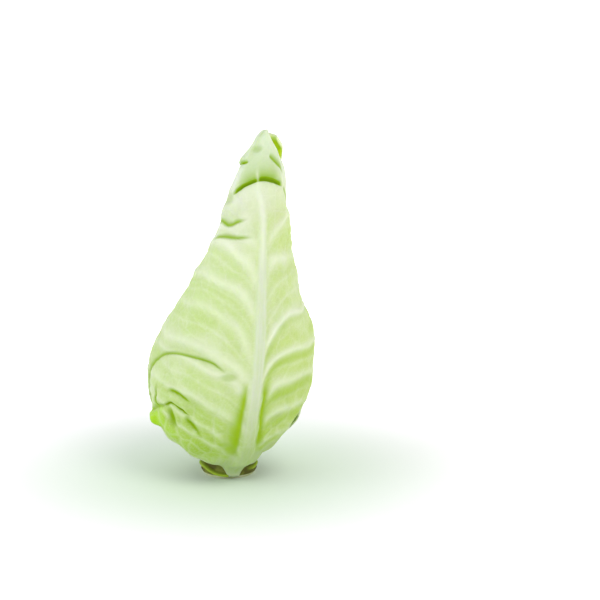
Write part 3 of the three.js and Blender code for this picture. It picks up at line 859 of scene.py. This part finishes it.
def leaf_finish(name, tint=(1, 1, 1)):
    r = Recipe(name)
    where = r.node("ShaderNodeTexCoord", out="Object")
    on_leaf = r.node("ShaderNodeUVMap", {"uv_map": "leaf"})
    rib, vein, veil_and_sheen, fine, fold = (r.mask(m) for m in ("rib", "vein", "veil_and_sheen", "net", "fold"))
    rim, frill, shade, inside = (r.mask(m) for m in ("rim", "frill", "shade", "inside"))

    slow = r.noise(22, where, detail=2)
    patch = r.noise(75, where, detail=4)
    rise = r.mask("rise") + slow * 0.12 - 0.06
    across = r.node("ShaderNodeSeparateXYZ", {}, {0: where}, out="X")
    # from the stalk to the point the blade turns paler: partly its own colour, partly painted shade low down,
    # where less light reaches
    lower, upper = (r.steps(rise, *stops) for stops in PART_STOPS)
    cell, pale = (r.blend(r.blend(low, middle, lower), high, upper)
                  for low, middle, high in (CELL_GREENS, PALE_GREENS))
    # painted shade: the right side of the head is darker and warmer
    cell = r.blend(cell, CELL_SHADED_RIGHT, r.steps(across, 0.0, 0.05) * 0.6)
    # paler round the veins, partly a painted sheen; paler high up, partly painted light from above; slow
    # patches of the leaf's own tone
    paleness = veil_and_sheen * 0.65 + r.steps(slow, 0.46, 0.64) * 0.45 + r.steps(rise, 0.7, 0.88) * 0.7
    # painted sheen: the left side of the head is paler
    paleness += r.steps(across, -0.015, -0.045) * 0.1
    color = r.blend(cell, pale, paleness.clamp())
    color = r.blend(color, HOOD_GREEN, r.steps(rise, 0.84, 0.9) * 0.8)
    color = r.blend(color, LIME, r.steps(patch, 0.5, 0.75) * 0.14)
    cells = r.node("ShaderNodeTexVoronoi", {"feature": "DISTANCE_TO_EDGE"},
                   {"Vector": on_leaf, "Scale": FINEST_CELLS})
    lines = 1 - r.steps(cells, 0.0, 0.12)
    # the frill's knob: the lime of its curled margin, brightened as painted light that comes through the thin
    # leaf
    color = r.blend(color, RIM_GREEN_LIT_THROUGH, (frill * 1.8).clamp() * 0.95)
    color = r.blend(color, VEIN_CREAM, ((fine * 0.24 + lines * 0.08) * (1 - frill * 0.8)).clamp())
    color = r.blend(color, VEIN_CREAM, (vein * 0.4).clamp())
    # painted shade: lime green in the valleys beside the midrib's foot and below the side veins
    color = r.blend(color, VALLEY_SHADE_LIME, shade.clamp())
    fibres = r.noise(60, r.node("ShaderNodeMapping", {}, {0: on_leaf, "Scale": (1, 0.06, 1)}), detail=3)
    # the midrib is darker and greener low down as painted shade
    rib_green = r.blend(RIB_SHADED_LOW, RIB_CREAM, r.steps(rise, 0.1, 0.36))
    color = r.blend(color, rib_green, (rib * (0.5 + r.steps(fibres, 0.3, 0.7) * 0.4)).clamp())
    # inside the hood: the young face's own lime, brightened as painted light that comes through the leaf
    young_and_backlit = r.steps(rise, 0.8, 0.9) * inside
    color = r.blend(color, INNER_LOW, (inside * 0.7).clamp())
    color = r.blend(color, INNER_GREEN, young_and_backlit * 0.85)
    color = r.blend(color, VEIN_CREAM, (rim * 0.45).clamp())
    # painted shade in the creases and dents: lime, then deep green where the mask is strongest
    color = r.blend(color, LIME, (fold * 1.5).clamp())
    color = r.blend(color, FOLD_SHADE_GREEN, r.steps(fold, 0.55, 1.05))
    color = r.node("ShaderNodeMix", {"data_type": "RGBA", "blend_type": "MULTIPLY"},
                   {0: 1.0, 6: color, 7: rgba(tint)}, out=2)

    pores = r.noise(900, where, detail=2)
    height = lines * 0.6 + pores * 0.25 + patch * 0.8
    normal = r.node("ShaderNodeBump", {}, {"Height": height, "Strength": 0.35, "Distance": 0.0004})
    roughness = 0.5 + patch * 0.16 + fold * 0.2
    coat = (0.04 - fold * 0.04).clamp()
    through = r.blend((0.0, 0.0, 0.0), LIGHT_THROUGH, young_and_backlit)
    return r.finish(color, roughness, Normal=normal, Coat_Weight=coat, Coat_Roughness=0.4,
                    Specular_IOR_Level=0.1, Emission_Color=through, Emission_Strength=0.5,
                    Subsurface_Weight=0.3, Subsurface_Scale=0.003, Subsurface_Radius=(0.7, 1.0, 0.25))


OUTER_FINISH = leaf_finish("leaf_outer")
COVERED_FINISH = leaf_finish("leaf_covered", tint=(1.0, 1.0, 0.86))
for piece in leaf_pieces:
    piece.data.materials.append(OUTER_FINISH if piece in leaf_pieces[:2] else COVERED_FINISH)
print("leaf finish on", len(leaf_pieces), "leaves")

# %% [markdown]
# ## The heart
# Inside the wrapper leaves the young leaves are folded so tightly that they make one body. Only a little of
# it shows, low down between the wrappers. Hundreds of small leaves could be made, but none would be seen. It
# starts as a ball whose latitudes are read as distances along an outline: up inside the socket for the
# stalk's core, round the foot, and out over the folded leaves.

# %% Heart
HEART_DEPTH = -len(LEAVES) * LAYER_PITCH - 2.2
HEART_LEAVES, HEART_REACH, HEART_EDGE, HEART_RIB = 5, 78, 0.26, 0.7
GOLDEN_ANGLE = 137.5
CORE_START, CORE_TIP, SOCKET_GAP = 20, 76, 0.35
STALK_FACE_RADIUS, STALK_RADIUS, STALK_CLEARANCE = 15.4, 16.4, 0.5


def beside_feet(height):
    """The stalk's radius where it runs along the leaves' feet."""
    seat_radius, seat_height = LEAF_SEAT
    return seat_radius * (FOCUS_HEIGHT - height) / (FOCUS_HEIGHT - seat_height) - STALK_CLEARANCE


CORE_RADIUS = beside_feet(CORE_START)
CORE_OUTLINE = [(CORE_START, 1.0), (39.6, 0.88), (62, 0.54), (73.8, 0.2), (CORE_TIP, 0.0)]


def core_radius(height):
    heights, shares = zip(*CORE_OUTLINE)
    core = CORE_RADIUS * np.interp(height, heights, shares)
    return np.where(height < CORE_START, beside_feet(height), core)


def ball(name, around, up):
    """A closed ball mesh, with each vertex's azimuth and its share of the way from lower to upper pole."""
    bm = bmesh.new()
    bmesh.ops.create_uvsphere(bm, u_segments=around, v_segments=up, radius=1)
    mesh = to_mesh(bm, name)
    x, y, z = coordinates(mesh).T
    return mesh, np.arctan2(x, -y), np.arccos(np.clip(-z, -1, 1)) / math.pi


SOCKET_SHARE = 0.2  # of the heart's rows that line its socket
SOCKET_FOOT, HEART_START = 25.2, 1.5  # the socket's lower end, and how far along the head the heart starts
mesh, azimuth, share = ball("heart_fine", 200, 240)
v = np.clip((share - SOCKET_SHARE) / (1 - SOCKET_SHARE), 0, 1)
reach = np.radians(HEART_REACH) * np.sqrt(1 - 0.8 * v * v)
relief, margin = np.zeros_like(v), np.zeros_like(v)
for i in range(HEART_LEAVES):
    middle = math.radians(i * GOLDEN_ANGLE)
    beside = np.arctan2(np.sin(azimuth - middle), np.cos(azimuth - middle))
    relief += HEART_EDGE * (1 - ease(np.abs(beside), reach - 0.05, reach + 0.05))
    relief += HEART_RIB * (1 - v) * hump(beside / 0.12)
    margin += hump((np.abs(beside) - reach) / 0.06)
relief += 0.12 * ripples(azimuth * 30, v * LENGTH, 14, 301)
outside = place(azimuth, HEART_START + v * (LENGTH - HEART_START), HEART_DEPTH + relief)
socket_share = np.clip(share / SOCKET_SHARE, 0, 1)
z = mix(CORE_TIP + SOCKET_GAP, SOCKET_FOOT, socket_share)
r = core_radius(z - SOCKET_GAP * (z > 70)) + SOCKET_GAP
r = np.where(share <= 0, 0, r)
points = np.where((share < SOCKET_SHARE)[:, None], around(azimuth, r, z), outside)
finish_mesh(mesh, points)
store(mesh, "margin", np.clip(margin, 0, 1))
heart = add_piece("heart_fine", mesh, "heart")
print("heart", [round(1000 * s, 1) for s in heart.dimensions])

# %% Heart finish
r = Recipe("heart_leaf")
where = r.node("ShaderNodeTexCoord", out="Object")
streaks = r.noise(60, where, detail=4)
color = r.blend(from_display(226, 226, 140), from_display(198, 214, 96), r.steps(streaks, 0.4, 0.65))
color = r.blend(color, from_display(240, 240, 200), (r.mask("margin") * 0.5).clamp())
normal = r.node("ShaderNodeBump", {}, {"Height": streaks, "Strength": 0.3, "Distance": 0.001})
heart.data.materials.append(r.finish(color, 0.5 + streaks * 0.15, Normal=normal, Subsurface_Weight=0.3,
                                     Subsurface_Scale=0.004, Subsurface_Radius=(1.0, 0.9, 0.3)))

# %% [markdown]
# ## The stalk
# A picked cabbage is cut through its stalk, and its oldest leaves are trimmed off. The cut face is a pale
# ring round a softer pith, a little dished and dry at the rim. Three trimmed leaves' feet are left as thin
# rims round the rough side. The stalk could be spun from an outline and the rims added. Here a fine ball's
# rows are read along that outline, as for the heart, and the same points are moved out for the rims.

# %% Stalk
STALK_OUTLINE = [(0, 0), (STALK_FACE_RADIUS, 0), (STALK_RADIUS, 0.9), (beside_feet(3), 3)]
STALK_OUTLINE += [(CORE_RADIUS * s, h) for h, s in CORE_OUTLINE]
FACE_SHARE, DISH = 0.26, 0.35  # of the stalk's rows that make its cut face, and how deep that is dished
STUBS = [(-105, 8.5, 15, 1.6), (40, 5.5, 100, 7.5), (150, 7, 262, 2.5)]  # azimuth and height, from and to
STUB_OUT, STUB_HALF = 2.3, 1.1  # how far a trimmed foot stands out, and half its thickness
mesh, azimuth, share = ball("stalk_fine", 240, 260)
stops = np.array([0, FACE_SHARE, 0.29, 0.36, 0.74, 0.83, 0.92, 0.98, 1.0])
outline = np.array(STALK_OUTLINE)
r = np.interp(share, stops, outline[:, 0])
z = np.interp(share, stops, outline[:, 1])
degrees = np.degrees(azimuth)
on_side = ease(z, 0.1, 1.2) * (1 - ease(z, 11.5, 13.5))
stub = np.zeros_like(r)
for start, low, end, high in STUBS:
    for turn in (degrees, degrees + 360):
        run = ease(turn, start, start + 20) * (1 - ease(turn, end - 20, end))
        path = mix(low, high, np.clip((turn - start) / (end - start), 0, 1))
        path += 0.5 * np.sin(np.radians(5 * turn))
        stub = np.maximum(stub, run * hump(np.square((z - path) / STUB_HALF)))
bark = 0.25 * ripples(azimuth * 15, z, 4, 402)
r = r + on_side * np.maximum(STUB_OUT * stub, bark - 0.4)
face = (share < FACE_SHARE) & (share > 0)
z = z + np.where(face, DISH * ease(r, 14.5, 10.0), 0) + DISH * (share <= 0)
finish_mesh(mesh, around(azimuth, r, z))
store(mesh, "stub", stub * on_side)
stalk = add_piece("stalk_fine", mesh, "stalk")
print("stalk", [round(1000 * s, 1) for s in stalk.dimensions])

# %% Stalk finish
r = Recipe("stalk_flesh")
where = r.node("ShaderNodeTexCoord", out="Object")
parts = [r.node("ShaderNodeSeparateXYZ", {}, {0: where}, out=axis) for axis in "XYZ"]
radius = (parts[0] * parts[0] + parts[1] * parts[1]) ** 0.5
grain = r.noise(420, where, detail=5)
patch = r.noise(120, where, detail=3)
color = r.blend(from_display(232, 234, 204), from_display(210, 220, 164), r.steps(patch, 0.42, 0.62))
bundle = r.steps(radius, 0.0105, 0.0118) * (1 - r.steps(radius, 0.0128, 0.0138))
on_face = 1 - r.steps(parts[2], 0.0006, 0.0012)
color = r.blend(color, from_display(206, 208, 150), (bundle * on_face * 0.7).clamp())
color = r.blend(color, from_display(190, 178, 120), (r.steps(radius, 0.0148, 0.0164) * on_face * 0.6).clamp())
bark = r.blend(from_display(126, 132, 50), from_display(92, 90, 30), r.steps(patch, 0.4, 0.6))
color = r.blend(color, bark, r.steps(parts[2], 0.0009, 0.0022))
color = r.blend(color, from_display(160, 186, 50), (r.mask("stub") * 0.95).clamp())
normal = r.node("ShaderNodeBump", {}, {"Height": grain, "Strength": 0.4, "Distance": 0.0006})
stalk.data.materials.append(r.finish(color, 0.55 + grain * 0.2, Normal=normal, Specular_IOR_Level=0.2))

# %% [markdown]
# ## Floor and light
# The head stands on a white table in a white room. Near the head the floor is painted darker and a little
# green, as a painted shadow with the green light that the leaves throw on it. Further out it glows by itself,
# as a light table does, and runs out into pure white, where a bent backdrop would show from behind. A broad
# lamp from above on the right models the form, and a cool one from the left keeps the shaded side fresh.

# %% Floor
FLOOR_GLOW = 0.7  # the floor's own light, far from the head
GLOW_RING, SHADOW_TINT_RING = (0.06, 0.36), (0.05, 0.18)  # metres out where the glow comes and the tint goes
bm = bmesh.new()
bmesh.ops.create_grid(bm, x_segments=8, y_segments=8, size=9)
floor = add_object("floor", to_mesh(bm, "floor"))
r = Recipe("white_floor")
where = r.node("ShaderNodeTexCoord", out="Object")
parts = [r.node("ShaderNodeSeparateXYZ", {}, {0: where}, out=axis) for axis in "XY"]
distance = (parts[0] * parts[0] + parts[1] * parts[1]) ** 0.5
glow = r.blend((0.0, 0.0, 0.0), (FLOOR_GLOW,) * 3, r.steps(distance, *GLOW_RING))
haze = r.noise(2, where, detail=1)
# painted shadow: near the head the floor is darker and greener, with the green light the leaves throw; the
# glow further out leaves it there
near = r.blend((0.74, 0.84, 0.73), (0.76, 0.84, 0.76), haze)
color = r.blend(near, (0.85, 0.84, 0.85), r.steps(distance, *SHADOW_TINT_RING))
floor.data.materials.append(r.finish(color, 0.7, Emission_Color=glow, Emission_Strength=1.0))

# %% Light
def lamp(name, place_at, size, watts, color):
    light = bpy.data.lights.new(name, "AREA")
    light.shape, light.size = "DISK", size
    light.energy, light.color = watts, color
    lamp_object = add_object(name, light)
    lamp_object.location = place_at
    aim = Vector((0, 0, 0.1)) - Vector(place_at)
    lamp_object.rotation_euler = aim.to_track_quat("-Z", "Y").to_euler()


lamp("key", (0.8, -1.0, 1.6), 1.0, 10, (1.0, 0.98, 0.95))
lamp("fill", (-1.4, -0.6, 0.7), 1.2, 6, (0.88, 0.95, 1.0))
AMBIENT, BACKDROP = 0.9, 1.05  # how bright the room is to the head, and to the eye
world = bpy.data.worlds.new("studio")
world.use_nodes = True
room = world.node_tree.nodes["Background"]
room.inputs["Color"].default_value = (0.98, 0.99, 1.0, 1)
eye = world.node_tree.nodes.new("ShaderNodeLightPath")
brightness = world.node_tree.nodes.new("ShaderNodeMix")
brightness.inputs["A"].default_value, brightness.inputs["B"].default_value = AMBIENT, BACKDROP
world.node_tree.links.new(eye.outputs["Is Camera Ray"], brightness.inputs["Factor"])
world.node_tree.links.new(brightness.outputs["Result"], room.inputs["Strength"])
bpy.context.scene.world = world
bpy.context.scene.view_settings.view_transform = "Standard"
print("lit")

# %% [markdown]
# ## The two sizes
# The dressed head stays close to the measured model. It stands at most 1.4 mm past the model, at the leaf's
# tip.

# %% Finish
print("scene built")
